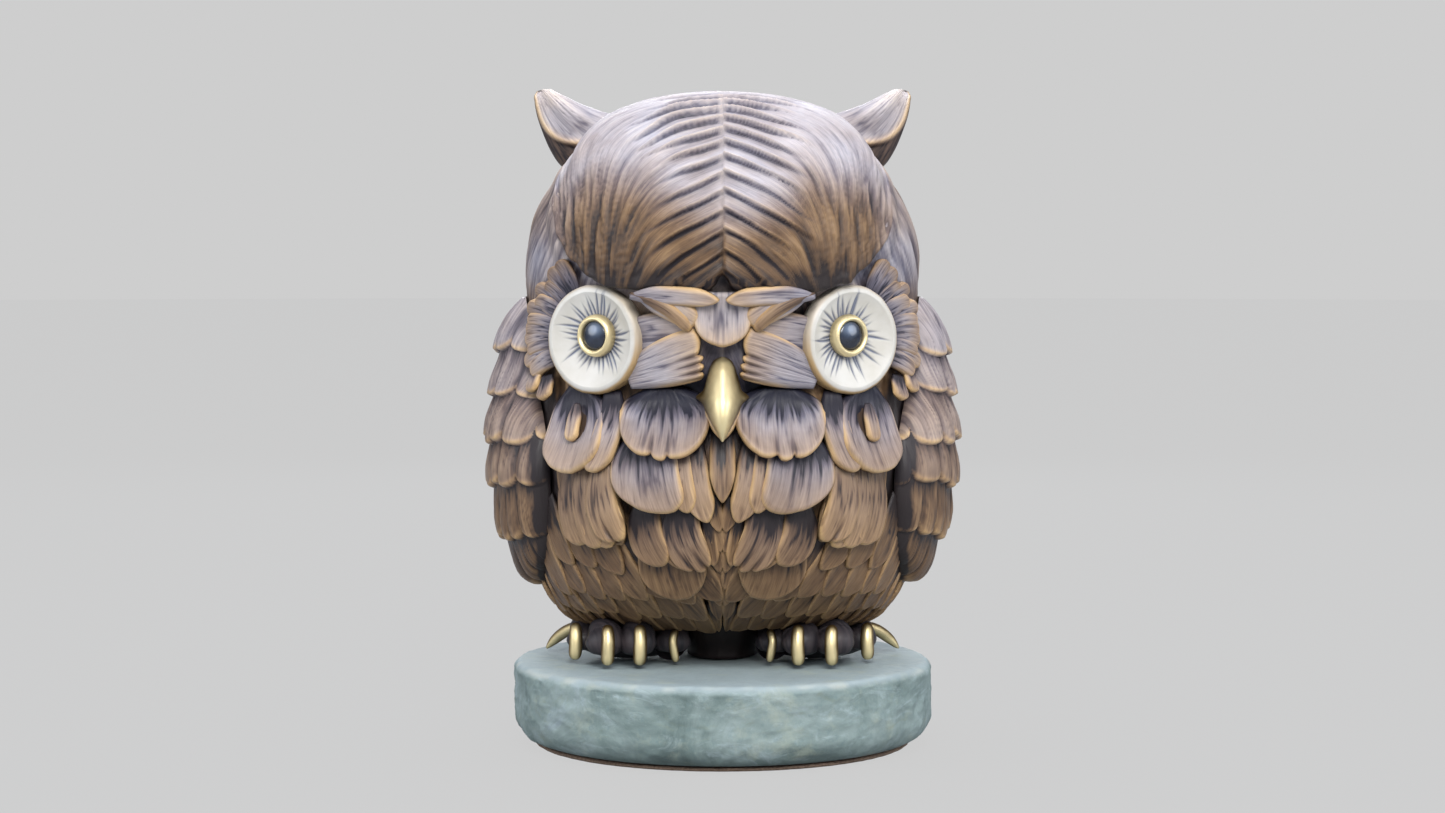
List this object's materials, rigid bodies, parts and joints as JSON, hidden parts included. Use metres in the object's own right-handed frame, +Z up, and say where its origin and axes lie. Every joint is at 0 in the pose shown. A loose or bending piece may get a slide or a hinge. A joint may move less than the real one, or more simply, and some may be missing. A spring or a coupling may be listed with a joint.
{
  "type": "carved owl figurine",
  "caption": "Carved wooden owl with ear tufts, ivory eye discs, layered feathers and a gold beak and claws, standing on a round green stone base.",
  "frame": {"origin": "centre of the felt pad's underside, where the figurine stands", "axes": "+Z up to the crown, -Y is the way the owl faces, +X to the owl's own left"},
  "size_m": [0.141, 0.1236, 0.1903],
  "materials": {
    "dark_wood": "satin stained wood, dark in the carved hollows",
    "pale_wood": "satin stained wood with rubbed golden edges",
    "foot_skin": "dark stained wood, semi-gloss",
    "gold": "aged polished brass",
    "disc_paint": "ivory paint with dark grooves, satin",
    "pupil": "glossy black glass",
    "stone": "mottled green stone, matt with worn pale edges",
    "felt": "brown felt",
    "steel": "zinc plated",
    "dowel_wood": "raw hardwood"
  },
  "bodies": {
    "root": {"base_pad": "felt", "base_screw_left": "steel", "base_screw_right": "steel", "beak": "gold", "belly_hem_left": "pale_wood", "belly_hem_right": "pale_wood", "belly_inner_left": "pale_wood", "belly_inner_right": "pale_wood", "body": "dark_wood", "breast_inner_left": "pale_wood", "breast_inner_right": "pale_wood", "breast_outer_left": "pale_wood", "breast_outer_right": "pale_wood", "brow_left": "pale_wood", "brow_right": "pale_wood", "cheek_band_left": "pale_wood", "cheek_band_right": "pale_wood", "cheek_fan_left": "pale_wood", "cheek_fan_right": "pale_wood", "chin_feather": "pale_wood", "claw_left_1": "gold", "claw_left_2": "gold", "claw_left_3": "gold", "claw_left_4": "gold", "claw_left_5": "gold", "claw_right_1": "gold", "claw_right_2": "gold", "claw_right_3": "gold", "claw_right_4": "gold", "claw_right_5": "gold", "crown": "dark_wood", "crown_dowel": "dowel_wood", "ear_dowel_left": "dowel_wood", "ear_dowel_right": "dowel_wood", "ear_tuft_left": "pale_wood", "ear_tuft_right": "pale_wood", "eye_disc_left": "disc_paint", "eye_disc_right": "disc_paint", "eye_pupil_left": "pupil", "eye_pupil_right": "pupil", "eye_ring_left": "gold", "eye_ring_right": "gold", "face_shield": "pale_wood", "foot_left": "foot_skin", "foot_right": "foot_skin", "ruff_inner_left": "pale_wood", "ruff_inner_right": "pale_wood", "ruff_outer_left": "pale_wood", "ruff_outer_right": "pale_wood", "stone_base": "stone", "tail": "dark_wood", "wing_dowel_left_lower": "dowel_wood", "wing_dowel_left_upper": "dowel_wood", "wing_dowel_right_lower": "dowel_wood", "wing_dowel_right_upper": "dowel_wood", "wing_left": "dark_wood", "wing_right": "dark_wood"}
  },
  "joints": []
}
